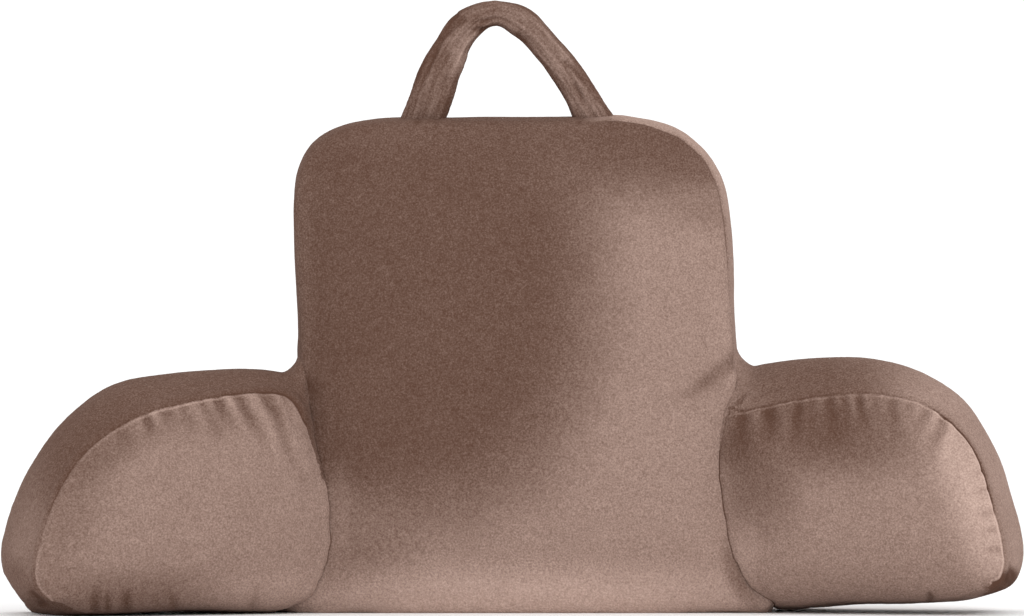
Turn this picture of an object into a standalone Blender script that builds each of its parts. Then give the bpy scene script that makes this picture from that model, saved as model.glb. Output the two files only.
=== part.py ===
"""Reading pillow with arms: a filled backrest wedge, two D-shaped arm cushions and a carry handle.

The pillow stands on its flat base. The sitter's side faces -Y, +X is to the right of a
person looking at that side, and +Z is up. All sizes are in metres.

Each cushion is lofted through its depth, from the sewn face panel at the front, over the
swelling boxing, to the rear panel. Its two main sections are given rib by rib: the face
seam and the girth, which is the largest section, half way through the depth. The boxing
strip is a piece of its own, laid in a shallow rebate round the cushion.
"""

import math
from collections import namedtuple

import bmesh
import bpy
import numpy as np
from mathutils import Matrix, Vector

# ---- Driving sizes -----------------------------------------------------------------

GAP = 0.0003  # clearance between sewn pieces
CLOTH = 0.0025  # thickness of the plush boxing strips
FLOOR_CLEARANCE = 0.003  # the boxing strips stop this far above the surface
SEAM_MARGIN = 0.025  # share of the depth between a panel's seam and its boxing strip
EDGE_MARGIN = 0.006  # share of the depth between the strip's edge and the rebate's wall
SECTION_POINTS = 54  # points round each cushion section
STEPS_PER_RIB = 16  # spline steps from one rib to the next before resampling
MERGE = 0.00001  # points nearer than this are one
ON_PLANE = 0.000001  # points nearer than this to a trimming plane lie on it

Rib = namedtuple("Rib", "name face_along face_up girth_along girth_up")

BACK_RIBS = (
    Rib("base_left", -0.199, 0.0070, -0.213, -0.0100),
    Rib("flank_left_low", -0.200, 0.0600, -0.212, 0.0650),
    Rib("flank_left", -0.193, 0.1600, -0.202, 0.1650),
    Rib("waist_left", -0.188, 0.2500, -0.196, 0.2550),
    Rib("side_left", -0.193, 0.3300, -0.200, 0.3350),
    Rib("corner_left_low", -0.191, 0.3850, -0.200, 0.3950),
    Rib("corner_left", -0.174, 0.4190, -0.183, 0.4300),
    Rib("corner_left_high", -0.142, 0.4350, -0.149, 0.4475),
    Rib("top_left", -0.090, 0.4400, -0.095, 0.4525),
    Rib("top_middle", 0.010, 0.4415, 0.010, 0.4540),
    Rib("top_right", 0.100, 0.4410, 0.105, 0.4535),
    Rib("corner_right_high", 0.140, 0.4350, 0.148, 0.4480),
    Rib("corner_right", 0.170, 0.4165, 0.180, 0.4275),
    Rib("corner_right_low", 0.185, 0.3850, 0.198, 0.3920),
    Rib("side_right", 0.193, 0.3250, 0.206, 0.3250),
    Rib("waist_right", 0.197, 0.2500, 0.206, 0.2550),
    Rib("flank_right", 0.205, 0.1500, 0.215, 0.1500),
    Rib("flank_right_low", 0.216, 0.0600, 0.225, 0.0600),
    Rib("base_right", 0.222, 0.0080, 0.231, -0.0100),
    Rib("base_right_inner", 0.170, 0.0050, 0.178, -0.0120),
    Rib("base_left_inner", -0.150, 0.0050, -0.158, -0.0120),
)

ARM_LEFT_RIBS = (
    Rib("inner_low", 0.0065, 0.042, 0.000, 0.040),
    Rib("inner_middle", 0.0020, 0.086, -0.004, 0.090),
    Rib("inner_high", 0.0105, 0.132, 0.002, 0.140),
    Rib("inner_corner", 0.0290, 0.178, -0.012, 0.2060),
    Rib("top_inner", 0.0580, 0.195, 0.030, 0.2185),
    Rib("top", 0.1050, 0.1915, 0.086, 0.2195),
    Rib("shoulder_inner", 0.1500, 0.184, 0.142, 0.2130),
    Rib("shoulder", 0.1900, 0.169, 0.190, 0.1990),
    Rib("shoulder_outer", 0.2250, 0.146, 0.2275, 0.1700),
    Rib("outer_high", 0.2500, 0.113, 0.2530, 0.1330),
    Rib("outer", 0.2660, 0.077, 0.2720, 0.0890),
    Rib("toe", 0.2775, 0.036, 0.2810, 0.0500),
    Rib("toe_low", 0.2660, 0.018, 0.2700, 0.0200),
    Rib("base_outer", 0.2300, 0.0090, 0.2400, -0.0010),
    Rib("base_middle", 0.1300, 0.0095, 0.1300, 0.0012),
    Rib("base_inner", 0.0400, 0.0120, 0.0300, 0.0010),
)

ARM_RIGHT_RIBS = (
    Rib("inner_low", 0.0130, 0.052, 0.004, 0.050),
    Rib("inner_middle", 0.0035, 0.096, -0.006, 0.100),
    Rib("inner_high", -0.0010, 0.141, -0.008, 0.155),
    Rib("inner_corner", 0.0060, 0.172, -0.018, 0.212),
    Rib("top_inner", 0.0300, 0.183, 0.020, 0.2245),
    Rib("top", 0.0925, 0.193, 0.084, 0.2310),
    Rib("top_outer", 0.1380, 0.195, 0.128, 0.2290),
    Rib("shoulder", 0.1745, 0.189, 0.170, 0.2165),
    Rib("shoulder_outer", 0.2080, 0.170, 0.210, 0.1910),
    Rib("outer_high", 0.2315, 0.142, 0.2370, 0.1500),
    Rib("outer", 0.2440, 0.102, 0.2500, 0.1070),
    Rib("outer_low", 0.2540, 0.066, 0.2605, 0.0660),
    Rib("toe", 0.2565, 0.038, 0.2590, 0.0380),
    Rib("toe_low", 0.2420, 0.022, 0.2420, 0.0150),
    Rib("base_outer", 0.1900, 0.017, 0.1900, 0.0080),
    Rib("base_middle", 0.1200, 0.015, 0.1200, 0.0055),
    Rib("base_inner", 0.0400, 0.014, 0.0300, 0.0020),
)

# How a cushion runs through its depth. The seam of the face panel lies at front_base at
# the base and front_top at full height; the rear seam lies depth_base or depth_top behind.
Depth = namedtuple("Depth", "height front_base front_top depth_base depth_top")
BACK_DEPTH = Depth(0.445, -0.100, -0.030, 0.200, 0.110)
ARM_DEPTH = Depth(0.200, -0.006, 0.014, 0.142, 0.118)

BACK_FACE_CROWN = 0.026  # how far the middle of a panel swells past its seam
BACK_REAR_CROWN = 0.020
ARM_FACE_CROWN = 0.032
ARM_REAR_CROWN = 0.018
REAR_TUCK = 0.014  # how far a rear seam is drawn in from the girth
RISE_LENGTH = 0.030  # a panel rises steeply over about this distance from its seam
DOME_SHARE = 0.4  # share of the crown that is an even dome over the whole panel
SWELL_POWER = 0.65  # below 1, the boxing swells out steeply next to its seams

# Rings of a panel, from its middle outwards or back, as shares of the way to its seam.
FACE_SPREADS = (0.28, 0.52, 0.72, 0.87, 0.96)
REAR_SPREADS = (0.93, 0.75, 0.40)
# Rings of a boxing strip, from its front edge to its rear one, as shares of the depth.
STRIP_SHARES = tuple(
    SEAM_MARGIN + share * (1 - 2 * SEAM_MARGIN) for share in (0.0, 0.12, 0.36, 0.64, 0.88, 1.0)
)

# Each arm hangs on at its inner end, (x, y) under its face seam, and is swung forward.
Arm = namedtuple("Arm", "name ribs side inner_x inner_y yaw")
ARMS = (
    Arm("arm_left", ARM_LEFT_RIBS, -1, -0.160, -0.098, math.radians(22)),
    Arm("arm_right", ARM_RIGHT_RIBS, 1, 0.186, -0.094, math.radians(15)),
)

# The handle's centre line over the top edge, with its width across and thickness through.
HandleStation = namedtuple("HandleStation", "name x up width thickness")
HANDLE_STATIONS = (
    HandleStation("left_root", -0.0870, 0.438, 0.037, 0.010),
    HandleStation("left_foot", -0.0805, 0.456, 0.037, 0.011),
    HandleStation("left_leg", -0.0680, 0.490, 0.036, 0.014),
    HandleStation("left_bend", -0.0565, 0.514, 0.031, 0.017),
    HandleStation("left_rise", -0.0415, 0.535, 0.026, 0.018),
    HandleStation("apex", -0.0157, 0.5480, 0.021, 0.017),
    HandleStation("right_fall", 0.0110, 0.5375, 0.024, 0.018),
    HandleStation("right_bend", 0.0270, 0.5205, 0.025, 0.017),
    HandleStation("right_leg", 0.0485, 0.4945, 0.026, 0.014),
    HandleStation("right_foot", 0.0715, 0.4570, 0.030, 0.011),
    HandleStation("right_root", 0.0840, 0.4380, 0.031, 0.010),
)
HANDLE_Y = 0.005  # depth of the handle's centre line over the top edge
HANDLE_SECTION_POINTS = 14
HANDLE_SQUARENESS = 2.6  # superellipse exponent of the flattened tube
HANDLE_STEPS = 3  # sections from one station to the next

PLUSH_COLOURS = {
    "back_cushion": (0.150, 0.094, 0.072),
    "back_band": (0.175, 0.114, 0.090),
    "arm_left": (0.185, 0.121, 0.096),
    "arm_left_band": (0.140, 0.087, 0.066),
    "arm_right": (0.170, 0.110, 0.087),
    "arm_right_band": (0.135, 0.084, 0.064),
    "handle": (0.160, 0.101, 0.078),
}
PLUSH_ROUGHNESS = 0.9


# ---- Scene and materials -----------------------------------------------------------


def clear_scene():
    """Removes every object, also from a scene that was open before."""
    for old in list(bpy.data.objects):
        bpy.data.objects.remove(old, do_unlink=True)


def new_collection(name):
    collection = bpy.data.collections.new(name)
    bpy.context.scene.collection.children.link(collection)
    return collection


def plush_material(name):
    """A matt short-pile cloth in the colour of the named piece."""
    material = bpy.data.materials.new(name + "_plush")
    material.use_nodes = True
    shader = material.node_tree.nodes["Principled BSDF"]
    colour = PLUSH_COLOURS[name]
    shader.inputs["Base Color"].default_value = (*colour, 1.0)
    shader.inputs["Roughness"].default_value = PLUSH_ROUGHNESS
    shader.inputs["Metallic"].default_value = 0.0
    material.diffuse_color = (*colour, 1.0)
    return material


def add_piece(name, bm, collection):
    """Turns a closed bmesh into a named, smooth-shaded piece."""
    bmesh.ops.recalc_face_normals(bm, faces=bm.faces)
    mesh = bpy.data.meshes.new(name)
    bm.to_mesh(mesh)
    bm.free()
    mesh.shade_smooth()
    piece = bpy.data.objects.new(name, mesh)
    collection.objects.link(piece)
    return piece


# ---- Curves and sections -----------------------------------------------------------


def spline(points, steps, closed):
    """A Catmull-Rom curve through every row of points, as an array with the same columns."""
    rows = np.asarray(points, float)
    if closed:
        rows = np.vstack([rows[-1:], rows, rows[:2]])
    else:
        rows = np.vstack([2 * rows[:1] - rows[1:2], rows, 2 * rows[-1:] - rows[-2:-1]])
    curve = []
    for before, start, end, after in zip(rows, rows[1:], rows[2:], rows[3:]):
        for t in np.arange(steps) / steps:
            curve.append(
                0.5
                * (
                    2 * start
                    + (end - before) * t
                    + (2 * before - 5 * start + 4 * end - after) * t**2
                    + (3 * start - before - 3 * end + after) * t**3
                )
            )
    if not closed:
        curve.append(rows[-2])
    return np.array(curve)


def cushion_sections(ribs):
    """(face, girth): two outlines of SECTION_POINTS points each, matched rib by rib."""
    table = [(r.face_along, r.face_up, r.girth_along, r.girth_up) for r in ribs]
    curve = spline(table, STEPS_PER_RIB, closed=True)
    looped = np.vstack([curve, curve[:1]])
    steps = np.linalg.norm(np.diff(looped[:, 2:], axis=0), axis=1)
    walked = np.concatenate([[0], np.cumsum(steps)])
    stops = np.linspace(0, walked[-1], SECTION_POINTS, endpoint=False)
    even = np.column_stack([np.interp(stops, walked, looped[:, i]) for i in range(4)])
    return even[:, :2], even[:, 2:]


def outward(outline):
    """Unit normals that point out of a closed outline which runs clockwise."""
    tangent = np.roll(outline, -1, axis=0) - np.roll(outline, 1, axis=0)
    normal = np.column_stack([-tangent[:, 1], tangent[:, 0]])
    return normal / np.linalg.norm(normal, axis=1)[:, None]


class CushionForm:
    """The skin of one boxed cushion, as rings of points from its face to its rear."""

    def __init__(self, ribs, depth, face_crown, rear_crown, strip_from, strip_to):
        self.face, self.girth = cushion_sections(ribs)
        self.strip_start = self.nearest_point(ribs, strip_from)
        self.strip_end = self.nearest_point(ribs, strip_to)
        self.normals = outward(self.girth)
        self.rear = self.girth - REAR_TUCK * self.normals
        # The rear panel reaches right down to the flat base.
        base = self.girth[:, 1] < 0
        self.rear[base, 1] = self.girth[base, 1]
        self.depth = depth
        self.face_crown = face_crown
        self.rear_crown = rear_crown

    def nearest_point(self, ribs, name):
        """The section point that lies nearest to the named rib."""
        rib = next(r for r in ribs if r.name == name)
        return int(np.argmin(np.linalg.norm(self.girth - (rib.girth_along, rib.girth_up), axis=1)))

    def rebate(self, depth):
        """How far each section point is sunk to make room for the boxing strip."""
        inset = np.zeros((len(self.girth), 1))
        inset[max(self.strip_start - 1, 0) : self.strip_end + 2] = depth
        return inset

    def at_depth(self, outline, share, swell=0.0):
        """An (n, 3) ring: the outline, share of the way back, pushed rearwards by swell."""
        d = self.depth
        height = np.clip(outline[:, 1] / d.height, 0, 1)
        front = d.front_base + (d.front_top - d.front_base) * height
        thick = d.depth_base + (d.depth_top - d.depth_base) * height
        return np.column_stack([outline[:, 0], front + share * thick + swell, outline[:, 1]])

    def boxing_ring(self, share, inset=0.0):
        """The section of the boxing, share of the way from the face seam to the rear seam."""
        seam = self.face if share < 0.5 else self.rear
        swell = math.sin(math.pi * share) ** SWELL_POWER
        return self.at_depth(seam + (self.girth - seam) * swell - inset * self.normals, share)

    def panel_ring(self, seam, share, spread, crown):
        """A ring inside a panel: spread is 1 at the seam and 0 at the panel's middle."""
        middle = seam.mean(axis=0)
        outline = middle + spread * (seam - middle)
        apart = np.linalg.norm(outline[:, None] - seam[None], axis=2).min(axis=1)
        rise = (1 - DOME_SHARE) * (1 - np.exp(-apart / RISE_LENGTH)) + DOME_SHARE * (1 - spread**2)
        return self.at_depth(outline, share, crown * rise)


def cushion_rings(form, rebate):
    """Rings from the middle of the face round the boxing to the middle of the rear."""
    wall = SEAM_MARGIN - EDGE_MARGIN
    sunk = form.rebate(rebate)
    rings = [form.panel_ring(form.face, 0.0, s, -form.face_crown) for s in FACE_SPREADS]
    rings += [form.boxing_ring(0.0), form.boxing_ring(wall)]
    if rebate:
        rings.append(form.boxing_ring(wall, sunk))
    rings += [form.boxing_ring(share, sunk) for share in STRIP_SHARES]
    if rebate:
        rings.append(form.boxing_ring(1 - wall, sunk))
    rings += [form.boxing_ring(1 - wall), form.boxing_ring(1.0)]
    rings += [form.panel_ring(form.rear, 1.0, s, form.rear_crown) for s in REAR_SPREADS]
    return rings


def skin(bm, rows, closed):
    """Triangles between neighbouring rows of vertices, all split along the same diagonal."""
    for row, following in zip(rows, rows[1:]):
        for i in range(len(row) - (not closed)):
            j = (i + 1) % len(row)
            bm.faces.new((row[i], row[j], following[j]))
            bm.faces.new((row[i], following[j], following[i]))


def loft(bm, rings, place):
    """Skins closed rings in order and closes both ends with a fan; place maps to world."""
    rows = [[bm.verts.new(place(point)) for point in ring] for ring in rings]
    skin(bm, rows, closed=True)
    for row, ring in ((rows[0], rings[0]), (rows[-1], rings[-1])):
        middle = bm.verts.new(place(ring.mean(axis=0)))
        for i in range(len(row)):
            bm.faces.new((row[i], row[(i + 1) % len(row)], middle))
    bmesh.ops.remove_doubles(bm, verts=bm.verts, dist=MERGE)
    bmesh.ops.recalc_face_normals(bm, faces=bm.faces)


def trim_below(bm, height):
    """Cuts the mesh flat at the given height and closes the cut."""
    everything = bm.verts[:] + bm.edges[:] + bm.faces[:]
    bmesh.ops.bisect_plane(
        bm,
        geom=everything,
        dist=ON_PLANE,
        plane_co=(0, 0, height),
        plane_no=(0, 0, 1),
        clear_inner=True,
    )
    open_edges = [edge for edge in bm.edges if edge.is_boundary]
    bmesh.ops.holes_fill(bm, edges=open_edges)
    bmesh.ops.recalc_face_normals(bm, faces=bm.faces)


# ---- Pieces ------------------------------------------------------------------------


def filled_cushion(name, form, place, collection, rebate=GAP + CLOTH):
    """A whole cushion with its crowned panels and boxing, cut flat where it stands."""
    bm = bmesh.new()
    loft(bm, cushion_rings(form, rebate), place)
    trim_below(bm, 0.0)
    return add_piece(name, bm, collection)


def boxing_strip(name, form, place, collection):
    """The strip of plush round a cushion, from one rib to another, following its swell."""
    bm = bmesh.new()
    layers = []
    covered = slice(form.strip_start, form.strip_end + 1)
    for inset in (0.0, CLOTH):
        rings = [form.boxing_ring(share, inset)[covered] for share in STRIP_SHARES]
        layers.append([[bm.verts.new(place(point)) for point in ring] for ring in rings])
    outer, inner = layers
    skin(bm, outer, closed=False)
    skin(bm, inner, closed=False)
    for edge in (0, -1):
        skin(bm, [outer[edge], inner[edge]], closed=False)
        skin(bm, [[row[edge] for row in outer], [row[edge] for row in inner]], closed=False)
    bmesh.ops.recalc_face_normals(bm, faces=bm.faces)
    trim_below(bm, FLOOR_CLEARANCE)
    return add_piece(name, bm, collection)


def handle_tube(collection):
    """A soft stuffed tube that rises from the top edge, bends over and comes down again."""
    table = [(s.x, s.up, s.width, s.thickness) for s in HANDLE_STATIONS]
    curve = spline(table, HANDLE_STEPS, closed=False)
    tangent = np.gradient(curve[:, :2], axis=0)
    tangent /= np.linalg.norm(tangent, axis=1)[:, None]
    angles = np.linspace(0, 2 * math.pi, HANDLE_SECTION_POINTS, endpoint=False)
    power = 2 / HANDLE_SQUARENESS
    across = np.sign(np.cos(angles)) * np.abs(np.cos(angles)) ** power
    through = np.sign(np.sin(angles)) * np.abs(np.sin(angles)) ** power
    rings = []
    for (x, up, width, thickness), (tx, tz) in zip(curve, tangent):
        side = across * width / 2
        ring = np.column_stack([x - tz * side, HANDLE_Y + through * thickness / 2, up + tx * side])
        rings.append(ring)
    bm = bmesh.new()
    loft(bm, rings, Vector)
    return add_piece("handle", bm, collection)


def cut_away(piece, cutter):
    """Leaves out of the piece whatever lies inside the cutter."""
    modifier = piece.modifiers.new("clear_of_" + cutter.name, "BOOLEAN")
    modifier.operation = "DIFFERENCE"
    modifier.solver = "EXACT"
    modifier.object = cutter


def grown(form, place, collection):
    """The backrest's whole envelope with the sewing clearance round it, used as a cutter."""
    envelope = filled_cushion("back_envelope", form, place, collection, rebate=0.0)
    normals = [vertex.normal.copy() for vertex in envelope.data.vertices]
    for vertex, normal in zip(envelope.data.vertices, normals):
        vertex.co += GAP * normal
    envelope.hide_render = True
    envelope.display_type = "WIRE"
    return envelope


def arm_place(arm):
    """Maps (along, depth, up) of an arm to the world."""
    forward = math.sin(arm.yaw)
    sideways = arm.side * math.cos(arm.yaw)

    def place(point):
        along, depth, up = point
        x = arm.inner_x + along * sideways + depth * arm.side * forward
        y = arm.inner_y - along * forward + depth * math.cos(arm.yaw)
        return Vector((x, y, up))

    return place


def centre_on_origin(pieces):
    """Moves everything so that the middle of the whole pillow's plan is the origin."""
    graph = bpy.context.evaluated_depsgraph_get()
    corners = []
    for piece in pieces:
        mesh = piece.evaluated_get(graph).to_mesh()
        corners += [v.co.copy() for v in mesh.vertices]
        piece.evaluated_get(graph).to_mesh_clear()
    middle_x = (min(c.x for c in corners) + max(c.x for c in corners)) / 2
    middle_y = (min(c.y for c in corners) + max(c.y for c in corners)) / 2
    shift = Matrix.Translation((-middle_x, -middle_y, 0))
    for mesh in bpy.data.meshes:
        mesh.transform(shift)


def build_pillow():
    """Makes the back first, then the arms and the handle, which are cut to fit against it."""
    clear_scene()
    pillow = new_collection("reading_pillow")
    cutters = new_collection("cutters")

    back_form = CushionForm(
        BACK_RIBS, BACK_DEPTH, BACK_FACE_CROWN, BACK_REAR_CROWN, "base_left", "base_right"
    )
    back_cushion = filled_cushion("back_cushion", back_form, Vector, pillow)
    back_band = boxing_strip("back_band", back_form, Vector, pillow)
    envelope = grown(back_form, Vector, cutters)
    pieces = [back_cushion, back_band]

    for arm in ARMS:
        form = CushionForm(
            arm.ribs, ARM_DEPTH, ARM_FACE_CROWN, ARM_REAR_CROWN, "inner_corner", "toe_low"
        )
        place = arm_place(arm)
        cushion = filled_cushion(arm.name, form, place, pillow)
        strip = boxing_strip(arm.name + "_band", form, place, pillow)
        for piece in (cushion, strip):
            cut_away(piece, envelope)
            pieces.append(piece)

    handle = handle_tube(pillow)
    cut_away(handle, envelope)
    pieces.append(handle)

    for piece in pieces:
        piece.data.materials.append(plush_material(piece.name))
    centre_on_origin(pieces)


if __name__ == "__main__":
    build_pillow()
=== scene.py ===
"""Dresses the frame of a reading pillow with arms in short-pile plush.

Each cushion of the frame gets one filled cover. It starts as an even copy of the CAD
solids, is blown up by a cloth simulation that holds the sewn lines, and then gets its
seams, gathers and creases. The handle's cover is a wrinkled even copy with no simulation.
Sizes are in metres, and in the rows of sewn details in millimetres. The sitter's side is
at -Y.
"""

import math
from collections import namedtuple

import bmesh
import bpy
import numpy as np
from bpy.props import FloatProperty, FloatVectorProperty, IntProperty, PointerProperty
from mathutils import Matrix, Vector, kdtree, noise
from mathutils.bvhtree import BVHTree


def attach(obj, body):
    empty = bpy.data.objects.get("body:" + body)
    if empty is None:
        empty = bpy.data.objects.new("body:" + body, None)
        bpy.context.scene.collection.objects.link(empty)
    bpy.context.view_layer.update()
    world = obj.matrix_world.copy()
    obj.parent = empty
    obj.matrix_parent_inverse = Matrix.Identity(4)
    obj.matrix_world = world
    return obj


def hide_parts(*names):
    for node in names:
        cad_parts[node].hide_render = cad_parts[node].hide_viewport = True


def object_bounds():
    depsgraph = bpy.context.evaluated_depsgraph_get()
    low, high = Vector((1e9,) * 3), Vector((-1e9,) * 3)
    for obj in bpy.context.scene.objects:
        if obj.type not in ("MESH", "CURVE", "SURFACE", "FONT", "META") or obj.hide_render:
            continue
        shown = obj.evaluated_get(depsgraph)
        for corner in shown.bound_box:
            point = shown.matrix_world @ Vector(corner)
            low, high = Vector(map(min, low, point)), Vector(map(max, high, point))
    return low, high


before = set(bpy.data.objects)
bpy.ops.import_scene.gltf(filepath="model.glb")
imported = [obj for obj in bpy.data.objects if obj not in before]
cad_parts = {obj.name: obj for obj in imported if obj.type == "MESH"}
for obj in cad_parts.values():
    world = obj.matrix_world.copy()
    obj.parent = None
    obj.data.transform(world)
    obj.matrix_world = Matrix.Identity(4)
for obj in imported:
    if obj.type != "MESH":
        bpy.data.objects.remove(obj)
cad_low, cad_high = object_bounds()

bl_info = {
    "name": "Reading pillow with arms",
    "version": (1, 0, 0),
    "blender": (4, 5, 0),
    "location": "View3D > Sidebar > Pillow",
    "description": "Plush covers for a backrest pillow with arms and a carry handle",
    "category": "Add Mesh",
}

BODY = "root"
MERGE = 0.000001  # copies of one point lie nearer than this

# ---- Where the sewn details lie ----------------------------------------------------


def rows_of(kind, lengths):
    """A function that makes rows of the kind, whose first numbers are given in mm."""

    def rows(*table):
        return [kind(*(value / 1000 for value in row[:lengths]), *row[lengths:]) for row in table]

    return rows


# A drop (x, fall) says how far the filling has pulled the front seam down there, and a
# pull (z, way) how far it has pushed the sewn end of the face along X at that height. A
# lift (x, rise) draws the underside up from the floor.
pairs = rows_of(namedtuple("Pair", "place amount"), 2)

# A swell is a place that is stuffed fuller (height above 0) or less full than the rest.
swells = rows_of(namedtuple("Swell", "x z radius height"), 4)

# A gather is a short crease that runs from the front seam into the face panel. It starts
# at x on the seam, ends lean further to +X, and is a valley of the given depth.
gathers = rows_of(namedtuple("Gather", "x length lean width depth"), 5)

# A crease is a valley (depth above 0) or ridge between two points seen from the front.
creases = rows_of(namedtuple("Crease", "start_x start_z end_x end_z width depth"), 6)

# How the front seam looks near a place: the depth of its groove (1 is full), how dark the
# painted shade along it is, and how light the painted highlight on the panel's lip beside it is.
stitches = rows_of(namedtuple("Stitching", "x z groove line lip"), 2)

# Where the pile lies darker or lighter, and where shade and light are painted on it, seen
# from the front: a soft rounded patch with its middle, half sizes, turn, edge softness and
# the lie inside it (0 dark to 1 light). Some patches are the nap's own tone; others paint
# light on rounded edges or shade in a pucker.
nap_and_shade_rows = rows_of(namedtuple("Nap", "x z half_width half_height turn softness lie"), 4)

# A cushion: its cover's name, the CAD nodes that the cover stands for, the node whose
# long edges are its seams, how far it is swung forward about the vertical, the size of
# the cover's first even faces, and how far each seam lies past the strip's edge, on the
# panel (below 0: on the strip). The pile of the panels and that of the strip each have
# a lie, and patches where it is another, some of which paint shade and light on it.
Cushion = namedtuple(
    "Cushion",
    "cover nodes strip yaw voxel overlap drops pulls lifts swells "
    "gathers creases stitching pile nap strip_pile strip_nap",
)
BACK = Cushion(
    cover="back_cover",
    nodes=("back_cushion", "back_band"),
    strip="back_band",
    yaw=0.0,
    voxel=0.0060,
    overlap=-0.0025,
    drops=pairs((0, 0)),
    pulls=(),
    lifts=pairs((0, 0)),
    swells=swells(
        (-205, 330, 100, 1.6), (205, 330, 100, -1.6),
        (-183, 422, 34, 2), (172, 425, 34, -2.6),
        (-125, 447, 40, 1.3), (95, 450, 18, 2.4),
    ),
    gathers=(),
    creases=creases(
        (201, 227, 140, 183, 6.8, 1.9),
        (206, 218, 190, 199, 6, -1),
        (-198, 214, -172, 188, 7, 1.4),
        (-90, 453, -86, 440, 2.4, 1.4),
        (-70, 453, -72, 442, 2.4, 1.2),
        (62, 453, 58, 440, 2.6, 1.4),
        (85, 453, 90, 442, 2.4, 1.2),
    ),
    stitching=stitches(
        (60, 450, 0.1, 0, 0), (110, 445, 0.5, 0.15, 0),
        (165, 425, 0.8, 0.45, 0), (190, 370, 0.8, 0.5, 0),
        (205, 250, 0.3, 0.05, 0), (0, 450, 0.1, 0, 0),
        (-170, 420, 0, 0, 0), (-200, 250, 0.1, 0, 0),
    ),
    pile=0.95,
    nap=nap_and_shade_rows(
        (-130, 310, 198, 223, 0, 0.28, 0.07),
        (-150, 66, 45, 34, 0, 0.7, 0.56),
        (131, 434, 120, 55, 0, 0.7, 0.15),
        # Painted light along the left edge of the back's face.
        (-196, 270, 12, 130, 0, 0.8, 0.26),
        # Painted light along the top edge of the back's face.
        (-80, 432, 110, 14, 0, 0.8, 0.14),
        (30, 2, 180, 34, 0, 0.6, 1.45),
        (-158, 78, 10, 40, 0, 0.8, 0.72),
        (198, 36, 8, 26, 14, 0.8, 0.52),
        (176, 366, 30, 16, 0, 0.8, 0.68),
        (190, 262, 14, 40, 0, 0.8, 1.04),
    ),
    strip_pile=1.2,
    strip_nap=nap_and_shade_rows((-160, 300, 250, 300, 0, 0.12, 0.13), (205, 290, 30, 85, 0, 0.4, 0.98)),
)
ARM_LEFT = Cushion(
    cover="arm_left_cover",
    nodes=("arm_left", "arm_left_band"),
    strip="arm_left_band",
    yaw=math.radians(-22),
    voxel=0.0044,
    overlap=0.003,
    drops=pairs(
        (-400, 1), (-360, 5), (-300, 5), (-260, 2), (-232, 2), (-204, 0),
        (-198, 3), (-190, 12), (-183, 12), (-176, 4),
    ),
    pulls=pairs((8, 9), (25, 3), (64, 5), (94, 5), (160, -2)),
    lifts=pairs((0, 0)),
    swells=swells((-352, 205, 36, 2.4), (-440, 100, 34, 1.8), (-431, 14, 14, 4)),
    gathers=gathers(
        (-348, 28, 12, 4, 0.8), (-325.3, 28, 9, 3.6, 2.2),
        (-309, 26, 10, 6, 1.2), (-296, 36, 16, 5, 1),
        (-277.8, 54, 23, 4.2, 1.5), (-265, 40, 14, 5, 2.2),
        (-247.6, 70, 35, 4.6, 1.6), (-223.2, 64, 36, 6.2, 1.9),
        (-208, 34, 18, 4, 0.8),
    ),
    creases=creases(
        (-422.5, 20.5, -406.3, 6.5, 2.4, 2),
        (-418, 11, -410, 7, 2, 1.4),
        (-367, 6, -364, 30, 3.6, 2),
        (-356, 6, -354, 24, 3, 1.4),
        (-340, 6, -338, 30, 4, 1.6),
        (-300, 6, -300, 24, 3.6, 1),
        (-232, 8, -226, 30, 4, 1),
    ),
    stitching=stitches(
        (-205, 192, 0.7, 0.6, 0.2), (-235, 195, 0.6, 0.45, 0.3),
        (-275, 190, 0.4, 0.1, 0.9), (-314, 178, 0.3, 0, 0.8),
        (-350, 155, 0.5, 0.1, 0.5), (-390, 115, 0.4, 0.25, 0),
        (-415, 82, 0.1, 0, 0.1), (-427, 45, 0.1, 0, 0.5),
    ),
    pile=0.88,
    nap=nap_and_shade_rows(
        (-260, 185, 80, 22, 6, 0.8, 0.65),
        (-345, 12, 95, 24, 0, 0.8, 0.47),
        # Painted light on the rounded lower edge of the face.
        (-215, 20, 50, 18, 0, 0.8, 1.1),
        (-400, 80, 30, 70, -20, 0.9, 0.62),
        (-363, 143, 46, 16, 36, 0.8, 0.45),
    ),
    strip_pile=0.1,
    strip_nap=nap_and_shade_rows(
        (-440, 80, 35, 50, 0, 0.9, 0.42),
        (-430, 64, 14, 34, -15, 0.8, 0.64),
        (-442, 36, 12, 12, 0, 0.8, 0.3),
        (-290, 205, 75, 22, 8, 0.8, 0.2),
    ),
)
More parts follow.
